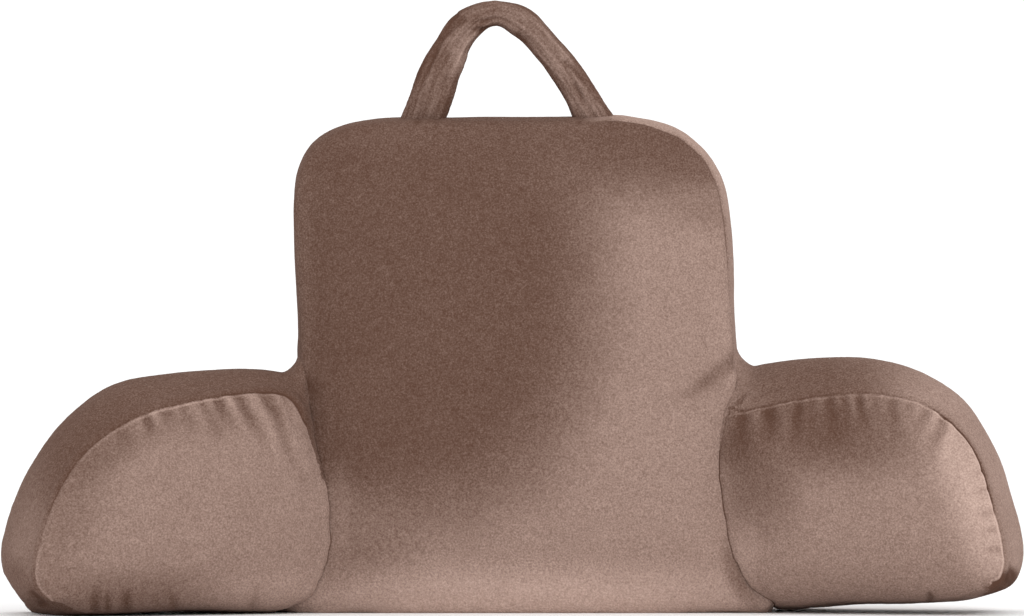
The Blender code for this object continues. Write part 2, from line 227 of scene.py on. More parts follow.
ARM_RIGHT = Cushion(
    cover="arm_right_cover",
    nodes=("arm_right", "arm_right_band"),
    strip="arm_right_band",
    yaw=math.radians(15),
    voxel=0.0044,
    overlap=0.003,
    drops=pairs(
        (190, 9), (212, 8), (250, 6), (350, 4), (395, 1), (404, -4),
        (412, -10), (419, -9), (426, -3), (432, 0),
    ),
    pulls=pairs((8, 8), (27, 0), (50, -6), (116, -6), (160, -2)),
    lifts=pairs((190, 4), (260, 2), (340, 1)),
    swells=swells((421, 159, 36, -2.8)),
    gathers=gathers(
        (204, 44, 2, 6, 1), (228, 54, 0, 5.6, 1.6),
        (256, 56, -9, 4.2, 1.2), (265.5, 34, -3, 3.4, 0.6),
        (281.5, 60, 7, 5, 1.4), (293.5, 56, 5, 4.2, 1.2),
        (307, 44, 4, 3.6, 1.5), (321.5, 26, 0, 3.4, 0.5),
        (336.5, 60, 1, 4.6, 0.9), (352, 26, -4, 3.4, 0.5),
        (368, 36, -12, 4.4, 1.1), (382, 50, -20, 3.8, 2),
    ),
    creases=creases(
        (372, 8, 365, 22, 2.4, 4),
        (442, 26, 430, 34, 3.4, 4),
        (438, 19, 418, 26, 3, 2.6),
        (444, 32, 436, 48, 2.4, 2),
        (437, 25, 408, 13, 3, 3.4),
        (436, 34, 427, 18, 2.6, 3.6),
        (415, 128.3, 404, 124, 2.4, 1),
        (418, 112, 404, 108, 2.4, 1),
        (422, 91.5, 406, 88.5, 2.4, 1.3),
        (424, 76, 408, 74.5, 2.4, 1),
        (426, 59, 412, 58, 2.4, 1.3),
    ),
    stitching=stitches(
        (210, 180, 0.5, 0.3, 0.6), (250, 190, 0.5, 0.25, 0.7),
        (300, 196, 0.4, 0.1, 0.2), (350, 190, 0.6, 0.1, 0.6),
        (395, 165, 0.9, 1, 0.6), (417, 120, 1, 1, 0.8),
        (430, 72, 0.5, 0.1, 0.7),
    ),
    pile=0.88,
    nap=nap_and_shade_rows(
        (262, 169, 74, 36, -4, 0.8, 0.08),
        (208, 52, 10, 36, 0, 0.8, 1.08),
        (217, 122, 28, 38, 0, 0.8, 0.4),
        (204, 158, 20, 20, 0, 0.8, 0.1),
        (411, 106, 26, 70, 18, 0.85, 1.5),
        (330, 12, 110, 22, 0, 0.9, 0.74),
        # Painted shade in the pucker at the face's lower outer corner.
        (424, 22, 10, 8, -30, 0.6, 0.2),
    ),
    strip_pile=0.62,
    strip_nap=nap_and_shade_rows(
        (205, 212, 16, 30, -30, 0.5, 0.9),
        (270, 208, 64, 24, 0, 0.8, 0.22),
        (440, 125, 35, 60, 0, 0.9, 1),
        (392, 182, 52, 30, -35, 0.8, 0.98),
        (446, 56, 12, 22, 0, 0.8, 1),
        # Painted shade in the pucker at the strip's lower outer corner.
        (436, 24, 16, 13, 20, 0.5, -0.9),
    ),
)

# Rear seams look the same all along: how deep their groove, how dark the painted shade in it.
REAR_GROOVE = 0.7
REAR_SEAM_SHADE = 0.3

HANDLE_SWELLS = swells(
    (12, 550, 20, 2.8), (40, 524, 22, 2),
    (-4, 524, 14, 2.8), (-45, 546, 22, 2.6),
    (-56, 538, 18, 1.8), (-92, 500, 32, 2.6),
    (-64, 448, 18, 2.8), (-54, 472, 22, 2.4),
    (-104, 446, 14, 1.6), (66, 502, 20, 2.4),
    (80, 478, 18, 2.6), (30, 480, 18, 2.2),
    (56, 446, 15, 5.5), (92, 446, 15, 2),
)
HANDLE_CREASES = creases(
    (-17, 533.5, -43, 531, 2.4, 4),
    (-45.6, 540.2, -65.6, 522, 2.2, 2.4),
    (-51.1, 542.9, -69.3, 516.5, 2.2, 2.2),
    (-66, 523, -85.7, 478.2, 2.2, 1.8),
    (-35.6, 537.5, -14.7, 544.8, 2.2, 1.8),
    (-46, 506, -56, 484, 5, -2),
    (-62, 486, -70, 464, 3, 1.6),
    (5, 529.3, 21.9, 512.9, 2.2, 1.8),
    (47.4, 501, 77.4, 470.9, 2.2, 2),
    (56, 480, 68, 460, 2.4, 1.6),
)
HANDLE_PILE = 0.36
HANDLE_NAP_AND_SHADE = nap_and_shade_rows(
    (0, 546, 40, 20, 0, 0.8, 0.48),
    (55, 485, 45, 70, 20, 0.8, 0.6),
    (-47, 519, 10, 15, -20, 0.8, 0.76),
    (-66, 480, 6, 10, -15, 0.8, 0.65),
)


# ---- Settings ----------------------------------------------------------------------


def length(name, description, default):
    """A property that holds a length."""
    return FloatProperty(
        name=name, description=description, default=default, subtype="DISTANCE", unit="LENGTH"
    )


def colour(name, description, default):
    """A property that holds a colour."""
    return FloatVectorProperty(
        name=name, description=description, default=default, subtype="COLOR", size=3
    )


class CoverSettings(bpy.types.PropertyGroup):
    """Sizes of the filled covers and their sewing."""

    pressure: FloatProperty(
        name="Filling", description="Pressure of the filling inside a cover", default=4.0, min=0.0
    )
    inset: length("Start inset", "How far a cover is drawn in before it is filled", 0.004)
    most_swell: length("Most swell", "How far a point may move while the cover fills", 0.008)
    frames: IntProperty(name="Frames", description="Steps of the simulation", default=20, min=1)
    seam_width: length("Seam width", "Width of the groove along a seam", 0.0016)
    seam_depth: length("Seam depth", "Depth of the groove along a seam", 0.0018)


class PlushSettings(bpy.types.PropertyGroup):
    """Colours and grain of the plush."""

    # Besides the pile's own lie, the mix between these colours paints the shade of folds and seams
    # and the highlights on the seams' lips.
    dark: colour(
        "Dark pile", "Colour where the pile lies away from the light", (0.0885, 0.0442, 0.0299)
    )
    light: colour(
        "Light pile", "Colour where the pile lies towards the light", (0.5240, 0.3750, 0.3170)
    )
    grain: length("Grain", "Size of the tufts of the pile", 0.0016)
    sheen: FloatProperty(name="Sheen", description="Strength of the pile's sheen", default=0.03)


class StageSettings(bpy.types.PropertyGroup):
    """Camera, floor and lights."""

    distance: length("Camera distance", "How far before its target the camera stands", 3.9984)
    camera_height: length("Camera height", "Height of the camera over the floor", 0.16)
    focal: FloatProperty(
        name="Focal length",
        description="Focal length of the lens",
        default=156.25,
        subtype="DISTANCE_CAMERA",
        unit="CAMERA",
    )
    key: FloatProperty(
        name="Key light",
        description="Power of the soft light from the upper right",
        default=22.0,
        unit="POWER",
    )
    fill: FloatProperty(
        name="Fill light",
        description="Power of the wide light from the front",
        default=6.0,
        unit="POWER",
    )
    daylight: FloatProperty(
        name="Daylight", description="Strength of the white light from all round", default=1.12
    )
    floor: colour("Floor", "Colour of the floor", (0.97, 0.97, 0.97))


# ---- Mesh helpers ------------------------------------------------------------------


def select_only(piece):
    """Makes the piece the one selected and active object."""
    for other in bpy.context.selected_objects:
        other.select_set(False)
    piece.select_set(True)
    bpy.context.view_layer.objects.active = piece


def apply_modifier(piece, kind, **values):
    """Adds a modifier with the given values and applies it."""
    modifier = piece.modifiers.new(kind.lower(), kind)
    for name, value in values.items():
        setattr(modifier, name, value)
    select_only(piece)
    bpy.ops.object.modifier_apply(modifier=modifier.name)


def points_of(piece):
    """The vertices of the piece as an (n, 3) array."""
    flat = np.empty(len(piece.data.vertices) * 3, np.float32)
    piece.data.vertices.foreach_get("co", flat)
    return flat.reshape(-1, 3).astype(float)


def normals_of(piece):
    """The vertex normals of the piece as an (n, 3) array."""
    flat = np.empty(len(piece.data.vertices) * 3, np.float32)
    piece.data.vertex_normals.foreach_get("vector", flat)
    return flat.reshape(-1, 3).astype(float)


def move_to(piece, points):
    """Moves every vertex of the piece to its row of points."""
    piece.data.vertices.foreach_set("co", points.astype(np.float32).ravel())
    piece.data.update()


def edges_of(piece):
    """The edges of the piece as an (n, 2) array of vertex numbers."""
    flat = np.empty(len(piece.data.edges) * 2, np.int32)
    piece.data.edges.foreach_get("vertices", flat)
    return flat.reshape(-1, 2)


def smoothed(values, edges, rounds, share=0.5):
    """Evens out rows of values between neighbouring vertices; share is 0 where they stay."""
    count = np.bincount(edges.ravel(), minlength=len(values))[:, None]
    share = np.broadcast_to(np.asarray(share, float).reshape(-1, 1), (len(values), 1))
    for _ in range(rounds):
        total = np.zeros_like(values)
        for axis in range(values.shape[1]):
            for here, there in ((0, 1), (1, 0)):
                total[:, axis] += np.bincount(
                    edges[:, here], values[edges[:, there], axis], minlength=len(values)
                )
        values = values + share * (total / count - values)
    return values


def ramp(value, low, high):
    """A smooth step from 0 at low to 1 at high."""
    t = np.clip((value - low) / (high - low), 0.0, 1.0)
    return t * t * (3 - 2 * t)


def add_attribute(piece, name, values):
    """Stores one number for each vertex under the given name."""
    attribute = piece.data.attributes.new(name, "FLOAT", "POINT")
    attribute.data.foreach_set("value", np.asarray(values, np.float32))


def clumps(points, size, seed):
    """A soft random value between about -1 and 1 at each point; size is the clump's width."""
    shift = Vector((seed * 7.3, seed * 3.1, seed * 5.7))
    return np.array([noise.noise(Vector(point) / size + shift) for point in points])


def joined_copy(name, nodes):
    """A new object with copies of the named CAD nodes, their loose triangles merged."""
    bm = bmesh.new()
    for node in nodes:
        bm.from_mesh(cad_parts[node].data)
    bmesh.ops.remove_doubles(bm, verts=bm.verts, dist=MERGE)
    mesh = bpy.data.meshes.new(name)
    bm.to_mesh(mesh)
    bm.free()
    piece = bpy.data.objects.new(name, mesh)
    bpy.context.scene.collection.objects.link(piece)
    return piece


def surface_of(meshes):
    """A search tree over the surfaces of the meshes."""
    bm = bmesh.new()
    for mesh in meshes:
        bm.from_mesh(mesh)
    tree = BVHTree.FromBMesh(bm)
    bm.free()
    return tree


def outline_of(piece):
    """A search tree over the piece's surface as it is now."""
    return BVHTree.FromPolygons(points_of(piece), [tuple(f.vertices) for f in piece.data.polygons])


def distance_to(tree, points, reach=0.02):
    """How far each point is from the tree's surface, or reach where it is further."""
    result = np.full(len(points), reach)
    for i, point in enumerate(points):
        found = tree.find_nearest(Vector(point), reach)
        if found[3] is not None:
            result[i] = found[3]
    return result


def bring_back(cover, outline, rounds=30):
    """Moves the cover back out to the outline on the whole, and keeps its own folds."""
    points, normals = points_of(cover), normals_of(cover)
    short = np.zeros((len(points), 1))
    for i, (point, normal) in enumerate(zip(points, normals)):
        found = outline.find_nearest(Vector(point))
        short[i, 0] = (found[0] - Vector(point)).dot(Vector(normal))
    short = smoothed(short, edges_of(cover), rounds)
    move_to(cover, points + normals * short)


# ---- Seams -------------------------------------------------------------------------


def strip_border(node):
    """Points on the border of a boxing strip's outer side that run along the strip."""
    bm = bmesh.new()
    bm.from_mesh(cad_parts[node].data)
    bmesh.ops.remove_doubles(bm, verts=bm.verts, dist=MERGE)
    narrow = 0.0032  # the faces of the strip's cut edges are narrower than this
    walls = [f for f in bm.faces if min(e.calc_length() for e in f.edges) < narrow]
    bmesh.ops.delete(bm, geom=walls, context="FACES")
    left = set(bm.faces)
    islands = []
    while left:
        island = [left.pop()]
        for face in island:
            for edge in face.edges:
                for other in edge.link_faces:
                    if other in left:
                        left.remove(other)
                        island.append(other)
        islands.append(island)
    outer = max(islands, key=lambda island: sum(f.calc_area() for f in island))
    inside = set(outer)
    border = {}
    for face in outer:
        for edge in face.edges:
            if sum(f in inside for f in edge.link_faces) == 1:
                along = (edge.verts[1].co - edge.verts[0].co).normalized()
                for vert in edge.verts:
                    border.setdefault(vert.index, []).append((tuple(vert.co), abs(along.y)))
    bm.free()
    steep = 0.8  # an edge that runs front to back this steeply is at the strip's end
    return np.array([ends[0][0] for ends in border.values() if min(e[1] for e in ends) < steep])


def depth_axis(cushion):
    """The way from the cushion's face to its rear."""
    return np.array((math.sin(cushion.yaw), math.cos(cushion.yaw), 0.0))


def seam_lines(cushion):
    """(front, rear): the seams on both sides of the boxing, as rows of even points."""
    points = strip_border(cushion.strip)
    axis = depth_axis(cushion)
    side = np.array((axis[1], -axis[0], 0.0))
    along, depth, up = points @ side, points @ axis, points[:, 2]
    low = 0.7  # the points are put in order round a place below the middle
    middle = (along.min() + along.max()) / 2, (up.min() + up.max()) / 2 * low
    turn = np.arctan2(along - middle[0], up - middle[1])
    lines = []
    for chosen, shift in (
        (depth < depth.mean(), -cushion.overlap * axis),
        (depth >= depth.mean(), cushion.overlap * axis),
    ):
        # A seam leans evenly with its height, and the ends of the strip lie off that line.
        for limit in (0.030, 0.012, 0.005):
            lean = np.polyfit(up[chosen], depth[chosen], 1)
            chosen = chosen & (np.abs(depth - np.polyval(lean, up)) < limit)
        row = points[chosen][np.argsort(turn[chosen])]
        lines.append(even_line(row) + shift)
    return lines


def even_line(row, closed=False, spacing=0.001, rounds=60):
    """A smooth line through the row's points, with a point every spacing."""
    if closed:
        row = np.vstack([row, row[:1]])
    walked = np.concatenate([[0], np.cumsum(np.linalg.norm(np.diff(row, axis=0), axis=1))])
    stops = np.arange(0, walked[-1], spacing)
    line = np.column_stack([np.interp(stops, walked, row[:, i]) for i in range(3)])
    links = np.column_stack([np.arange(len(line)), np.roll(np.arange(len(line)), -1)])
    hold = np.ones(len(line))
    if not closed:
        links = links[:-1]
        hold[[0, -1]] = 0
    return smoothed(line, links, rounds, 0.5 * hold)


def nearest_on(line, points):
    """(number, distance): the line's nearest point for each of the points."""
    tree = kdtree.KDTree(len(line))
    for i, point in enumerate(line):
        tree.insert(Vector(point), i)
    tree.balance()
    found = [tree.find(Vector(point)) for point in points]
    return np.array([f[1] for f in found]), np.array([f[2] for f in found])


class SeamPlace:
    """Where each point of a cover lies against a seam, whose panel faces the given way."""

    def __init__(self, points, line, facing):
        nearest, self.far = nearest_on(line, points)
        foot = line[nearest]
        inward = line.mean(axis=0) - foot
        inward -= np.outer(inward @ facing, facing)
        inward /= np.linalg.norm(inward, axis=1)[:, None]
        # Points on the panel lie inward of the seam or in front of it.
        lean = 0.8
        self.on_panel = np.einsum("ij,ij->i", points - foot, inward + lean * facing) > 0
        self.across = np.where(self.on_panel, self.far, -self.far)


def sewn_end(node, wall):
    """The closed line along which the end of an arm is sewn to the back."""
    touch = 0.0012  # the end's corners lie nearer to the back than this
    bm = bmesh.new()
    bm.from_mesh(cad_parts[node].data)
    bmesh.ops.remove_doubles(bm, verts=bm.verts, dist=MERGE)
    near = {v for v in bm.verts if wall.find_nearest(v.co, touch)[0] is not None}
    ends = {f for f in bm.faces if all(v in near for v in f.verts)}
    links = {}
    for edge in bm.edges:
        if sum(f in ends for f in edge.link_faces) == 1:
            for here, there in (edge.verts, reversed(edge.verts)):
                links.setdefault(here, []).append(there)
    # The longest closed walk along the border of the end.
    walks = []
    while links:
        here = next(iter(links))
        walk = []
        while here in links:
            walk.append(here)
            onward = [v for v in links.pop(here) if v in links]
            here = onward[0] if onward else None
        walks.append([tuple(v.co) for v in walk])
    bm.free()
    return even_line(np.array(max(walks, key=len)), closed=True)


# ---- Filling -----------------------------------------------------------------------

# While a cover fills, its cloth is held nearer than the first of each two distances and
# free beyond the second: over the floor, beside the seams and beside the back.
FLOOR_HOLD = 0.002, 0.012
SEAM_HOLD = 0.003, 0.016
BACK_HOLD = 0.003, 0.012


def fill(cover, held):
    """Swells the cover by a cloth simulation; where held is 1 the cloth stays in place."""
    settings = bpy.context.scene.pillow_cover
    before = points_of(cover)
    start = before - normals_of(cover) * settings.inset * (1 - held)[:, None]
    move_to(cover, start)
    group = cover.vertex_groups.new(name="held")
    for level in np.unique(np.round(held, 1)):
        chosen = np.nonzero(np.round(held, 1) == level)[0].tolist()
        group.add(chosen, float(level), "REPLACE")
    cloth = cover.modifiers.new("filling", "CLOTH")
    cloth.settings.quality = 4
    cloth.settings.use_pressure = True
    cloth.settings.uniform_pressure_force = settings.pressure
    cloth.settings.vertex_group_mass = group.name
    cloth.settings.effector_weights.gravity = 0.0
    cloth.collision_settings.use_collision = False
    cloth.collision_settings.use_self_collision = False
    scene = bpy.context.scene
    for number in range(1, settings.frames + 1):
        scene.frame_set(number)
    select_only(cover)
    bpy.ops.object.modifier_apply(modifier=cloth.name)
    cover.vertex_groups.clear()
    scene.frame_set(1)
    moved = points_of(cover) - start
    length = np.linalg.norm(moved, axis=1)[:, None]
    moved *= np.minimum(1.0, settings.most_swell / np.maximum(length, MERGE))
    move_to(cover, start + moved)


def refine(cover, chosen):
    """Halves every edge whose two ends are chosen."""
    bm = bmesh.new()
    bm.from_mesh(cover.data)
    edges = [e for e in bm.edges if chosen[e.verts[0].index] and chosen[e.verts[1].index]]
    bmesh.ops.subdivide_edges(bm, edges=edges, cuts=1, use_grid_fill=True)
    odd = [f for f in bm.faces if len(f.verts) > 4]
    bmesh.ops.triangulate(bm, faces=odd)
    bm.to_mesh(cover.data)
    bm.free()


def filled_cover(cushion, wall=None):
    """The cushion's cover, filled and once subdivided, with its front and rear seams."""
    cover = joined_copy(cushion.cover, cushion.nodes)
    apply_modifier(cover, "REMESH", mode="VOXEL", voxel_size=cushion.voxel)
    front, rear = seam_lines(cushion)
    points = points_of(cover)
    near_seam = np.minimum(nearest_on(front, points)[1], nearest_on(rear, points)[1])
    by_seam = 1 - ramp(near_seam, *SEAM_HOLD)
    held = np.maximum(1 - ramp(points[:, 2], *FLOOR_HOLD), by_seam)
    if wall:
        held = np.maximum(held, 1 - ramp(distance_to(wall, points), *BACK_HOLD))
    outline = outline_of(cover)
    # The frame's flat facets are evened out first, less so next to the seams.
    rounds, seam_share, on_floor = 30, 0.6, 0.001
    even = smoothed(points, edges_of(cover), rounds, 0.5 * (1 - seam_share * by_seam))
    even[:, 2] = np.where(points[:, 2] < on_floor, points[:, 2], even[:, 2])
    move_to(cover, even)
    bring_back(cover, outline)
    fill(cover, held)
    bring_back(cover, outline)
    apply_modifier(cover, "SUBSURF", levels=1, render_levels=1)
    return cover, dropped(front, cushion.drops, surface_of([cover.data])), rear


def dropped(seam, drops, surface):
    """The seam after the filling has pulled it down, laid on the cover's surface."""
    x, fall = np.array(drops).T
    lower = seam.copy()
    lower[:, 2] -= np.interp(seam[:, 0], x, fall)
    return np.array([surface.find_nearest(Vector(point))[0] for point in lower])


def sew_to_back(cushion, cover, rim, wall):
    """Draws the end of an arm in to the line where it is sewn to the back.

    The cloth comes to a crisp edge along the line, and the top of the arm climbs the
    side of the back in a soft curve.
    """
    stretch = 0.016  # the cloth this far from the line still follows its pulls
    reach = 0.006  # and this far from it is drawn onto the line
    climb, curve = 0.024, 0.0070  # height and width of the curve up the back
    tuck = 0.0008  # how far the sewn edge sinks into the back
    height, way = np.array(cushion.pulls).T
    facing = np.array([wall.find_nearest(Vector(point))[1] for point in rim])
    pull = np.zeros_like(rim)
    # Only the side of the line where the back faces forward is pulled.
    pull[:, 0] = np.interp(rim[:, 2], height, way) * ramp(-facing[:, 1], 0.2, 0.7)
    points = points_of(cover)
    nearest, far = nearest_on(rim, points)
    points += pull[nearest] * np.exp(-((far / stretch) ** 2))[:, None]

    rim = rim + pull
    peak = rim[:, 2].max()
    top = ramp(rim[:, 2], peak - 0.018, peak - 0.004)
    nearest, far = nearest_on(rim, points)
    rise = climb * np.exp(-((far / curve) ** 2))
    points += np.exp(-((far / reach) ** 2))[:, None] * (rim[nearest] - points)
    points[:, 2] += rise * top[nearest]
    for i in np.nonzero(far < 2 * reach)[0]:
        place, away, _, _ = wall.find_nearest(Vector(points[i]))
        share = math.exp(-((far[i] / reach) ** 2))
        points[i] += share * (np.array(place - tuck * away) - points[i])
    move_to(cover, points)


def shaped(cushion, points, middle):
    """The points, pushed out from the middle (x, z) at each swell and lifted at the base."""
    way = points[:, [0, 2]] - middle
    way /= np.linalg.norm(way, axis=1)[:, None] + MERGE
    push = np.zeros(len(points))
    for swell in cushion.swells:
        far = np.hypot(points[:, 0] - swell.x, points[:, 2] - swell.z)
        push += swell.height * np.exp(-((far / swell.radius) ** 2))
    points = points.copy()
    points[:, [0, 2]] += push[:, None] * way
    x, rise = np.array(cushion.lifts).T
    lifted = 0.05  # nothing above this height is lifted
    points[:, 2] += np.interp(points[:, 0], x, rise) * (1 - ramp(points[:, 2], 0.0, lifted))
    return points


def shape_cover(cushion, cover, *seams):
    """Shapes the cover by its swells and lifts; returns its seams, moved with it."""
    points = points_of(cover)
    middle = ((points.min(axis=0) + points.max(axis=0)) / 2)[[0, 2]]
    move_to(cover, shaped(cushion, points, middle))
    return [shaped(cushion, seam, middle) for seam in seams]


def spread_base(cover):
    """Lets the lower front corners of the back run out a little under the arms."""
    spread, low, aside, front = 0.012, (0.004, 0.032), (0.170, 0.215), (-0.06, 0.02)
    points = points_of(cover)
    share = (1 - ramp(points[:, 2], *low)) * ramp(np.abs(points[:, 0]), *aside)
    share *= ramp(-points[:, 1], *front)
    points[:, 0] += spread * share * np.sign(points[:, 0])
    move_to(cover, points)


# ---- Sewn details ------------------------------------------------------------------

FULL_FOLD = 0.0015  # a fold this deep gets the full painted shade


def stitching_at(points, places):
    """The groove's depth, the darkness of the painted shade along the seam and the strength of the
    painted highlight on its lip at each point, blended from the nearest described places.
    """
    flat = points[:, [0, 2]]
    even = 0.02  # places nearer than this count alike
    far = np.stack([np.sum((flat - (p.x, p.z)) ** 2, axis=1) + even**2 for p in places])
    weights = far**-2
    weights /= weights.sum(axis=0)
    values = np.array([(p.groove, p.line, p.lip) for p in places])
    return (weights.T @ values).T


def seam_profile(across, groove):
    """How far points sink or rise beside a seam: a groove, and the panel's puffed edge."""
    settings = bpy.context.scene.pillow_cover
    width, depth = settings.seam_width, settings.seam_depth
    puffed, place, breadth = 0.35, 3.2, 1.8  # against the groove's depth and width
    valley = -depth * np.exp(-((across / width) ** 2))
    puff = puffed * depth * np.exp(-(((across - place * width) / (breadth * width)) ** 2))
    return groove * (valley + puff)


def gather_relief(points, place, gathers):
    """The depth of all gathers at each point, as valleys between low ridges."""
    relief = np.zeros(len(points))
    start = 0.005  # a gather reaches its full depth this far from the seam
    widening = 0.5  # how much wider it is at its end
    ridge, beside = 0.45, 1.7  # the ridges' height and place, against its depth and width
    for g in gathers:
        share = place.far / g.length
        width = g.width * (1 + widening * share)
        across = (points[:, 0] - g.x - g.lean * share) / width
        fade = np.where(place.on_panel, ramp(1 - share, 0.0, 0.9), 0.0)
        fade *= 0.35 + 0.65 * ramp(place.far, 0.0, start)
        valley = np.exp(-(across**2)) - ridge * np.exp(-((np.abs(across) - beside) ** 2))
        relief -= g.depth * fade * valley
    return relief


def crease_relief(points, creases, faces_front):
    """The depth of all creases at each point, given by their ends seen from the front."""
    relief = np.zeros(len(points))
    flat = points[:, [0, 2]]
    for c in creases:
        start, end = np.array((c.start_x, c.start_z)), np.array((c.end_x, c.end_z))
        run = end - start
        t = np.clip((flat - start) @ run / (run @ run), 0, 1)
        far = np.linalg.norm(flat - start - t[:, None] * run, axis=1)
        fade = ramp(1.05 - t, 0.0, 0.7)  # it dies out towards its end
        relief -= c.depth * fade * np.exp(-((far / c.width) ** 2))
    return relief * faces_front


def pile_lie_and_shade(points, base, patches):
    """How the pile lies at each point, with the shade and light that its patches paint, from 0
    (dark) to 1 (light).
    """
    lie = np.full(len(points), base)
    square = 2.6  # 2 makes the patches ellipses, and more makes them squarer
    wander = 0.035 * clumps(points, 0.040, 3) + 0.015 * clumps(points, 0.015, 4)
    for p in patches:
        turn = math.radians(p.turn)
        dx, dz = points[:, 0] - p.x, points[:, 2] - p.z
        u = (dx * math.cos(turn) + dz * math.sin(turn)) / p.half_width
        w = (dz * math.cos(turn) - dx * math.sin(turn)) / p.half_height
        reach = (np.abs(u) ** square + np.abs(w) ** square) ** (1 / square) + wander
        lie += (p.lie - lie) * (1 - ramp(reach, 1 - p.softness, 1 + p.softness))
    return lie


def dress(cover, slot, nodes, fill_share, **attributes):
    """Gives the cover its pile with its painted shade, hangs it on the body and hides the nodes
    that it stands for.
    """
    for name, values in attributes.items():
        add_attribute(cover, name, values)
    cover.data.shade_smooth()
    cover.data.materials.clear()
    cover.data.materials.append(plush(cover.name))
    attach(cover, BODY)
    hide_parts(*nodes)


def touch_of(away, on_face):
    """(shade, free): the painted shade where an arm meets the back with painted light on the pile
    beside it, and 0 to 1 away from the back.
    """
    tight, wide = 0.0022, 0.008  # widths of the painted dark line and of the painted lighter pile beside it
    contact_shade_and_light = on_face * np.exp(-((away / tight) ** 2)) - 0.3 * np.exp(-((away / wide) ** 2))
    return contact_shade_and_light, ramp(away, 0.003, 0.012)


def finish_cover(cushion, cover, front, rear, wall=None):
    """Sews the seams, gathers and creases into the filled cover and colours its pile, with painted
    shade along the seams, in the folds and where an arm meets the back, and painted highlights on
    the seams' lips.
    """
    axis = depth_axis(cushion)
    points = points_of(cover)
    near = np.minimum(nearest_on(front, points)[1], nearest_on(rear, points)[1])
    if wall:
        near = np.minimum(near, distance_to(wall, points) + 0.001)
    refined = 0.006  # edges nearer to a seam than this are halved
    refine(cover, near < refined)
    points, normals = points_of(cover), normals_of(cover)
    at_front = SeamPlace(points, front, -axis)
    at_rear = SeamPlace(points, rear, axis)
    faces_front = ramp(-normals[:, 1], 0.0, 0.4)
    # The seam's line is painted shade along its groove, and its lip a painted highlight on the
    # panel's puffed edge.
    groove, line, lip = stitching_at(points, cushion.stitching)
    contact_shade_and_light = np.zeros(len(points))
    across = np.maximum(at_front.across, at_rear.across)
    nearer_front = at_front.far < at_rear.far
    line = np.where(nearer_front, line, REAR_SEAM_SHADE)
    lip = np.where(nearer_front, lip, 0.0)
    if wall:
        away = distance_to(wall, points)
        on_face = ramp(at_front.across, -0.002, 0.002)
        contact_shade_and_light, free = touch_of(away, on_face)
        groove, lip = groove * free, lip * free
        # Next to the back, the face's seam line turns into a painted dark line of shade.
        line = line * free + 0.9 * on_face * (1 - free)
        across = np.where(across > 0, np.minimum(across, away), across)
    relief = seam_profile(at_front.across, groove) + seam_profile(at_rear.across, REAR_GROOVE)
    folds = gather_relief(points, at_front, cushion.gathers)
    folds += crease_relief(points, cushion.creases, faces_front)
    lumps = 0.0005 * clumps(points, 0.050, 1) + 0.0002 * clumps(points, 0.014, 2)
    tufts = 0.00016 * clumps(points, 0.004, 5)
    moved = points + normals * (relief + folds + lumps + tufts)[:, None]
    on_floor = 0.0015
    moved[:, 2] = np.where(points[:, 2] < on_floor, points[:, 2], moved[:, 2])
    moved[:, 2] = np.maximum(moved[:, 2], 0.0)
    move_to(cover, moved)
    # Painted shade on the strip's pile beside the front seam.
    seam_shadow = (0.05 + 0.50 * line) * np.exp(-at_front.far / 0.004)
    dress(
        cover,
        "plush",
        cushion.nodes,
        0.75,
        panel=pile_lie_and_shade(moved, cushion.pile, cushion.nap),
        strip=pile_lie_and_shade(moved, cushion.strip_pile, cushion.strip_nap) - seam_shadow,
        across=across,
        line=line,
        lip=lip,
        # Painted shade in the valleys of gathers and creases and painted light on their ridges,
        # with the painted shade and light where an arm meets the back.
        fold=np.clip(-folds / FULL_FOLD + contact_shade_and_light, -1, 1),
    )


# ---- Materials ---------------------------------------------------------------------


class Shade:
    """Short ways to add shader nodes to a material and join them."""

    def __init__(self, material):
        self.nodes = material.node_tree.nodes
        self.link = material.node_tree.links.new
        self.place = self.nodes.new("ShaderNodeTexCoord").outputs["Object"]

    def attribute(self, name):
        node = self.nodes.new("ShaderNodeAttribute")
        node.attribute_name = name
        return node.outputs["Fac"]

    def grain(self, size, detail, roughness=0.6):
        node = self.nodes.new("ShaderNodeTexNoise")
        node.inputs["Scale"].default_value = 1 / size
        node.inputs["Detail"].default_value = detail
        node.inputs["Roughness"].default_value = roughness
        self.link(self.place, node.inputs["Vector"])
        return node.outputs["Fac"]

    def maths(self, operation, *values):
        """One Math node; a value is a number or a socket."""
        node = self.nodes.new("ShaderNodeMath")
        node.operation = operation
        for socket, value in zip(node.inputs, values):
            if isinstance(value, (int, float)):
                socket.default_value = value
            else:
                self.link(value, socket)
        return node.outputs[0]

    def step(self, value, low, high, to_low=0.0, to_high=1.0):
        """A soft step from to_low at low to to_high at high."""
        node = self.nodes.new("ShaderNodeMapRange")
        node.interpolation_type = "SMOOTHSTEP"
        self.link(value, node.inputs["Value"])
        node.inputs["From Min"].default_value = low
        node.inputs["From Max"].default_value = high
        node.inputs["To Min"].default_value = to_low
        node.inputs["To Max"].default_value = to_high
        return node.outputs["Result"]

    def total(self, *terms, start=0.0):
        """start plus each (socket, weight) product."""
        result = start
        for socket, weight in terms:
            result = self.maths("MULTIPLY_ADD", socket, weight, result)
        return result


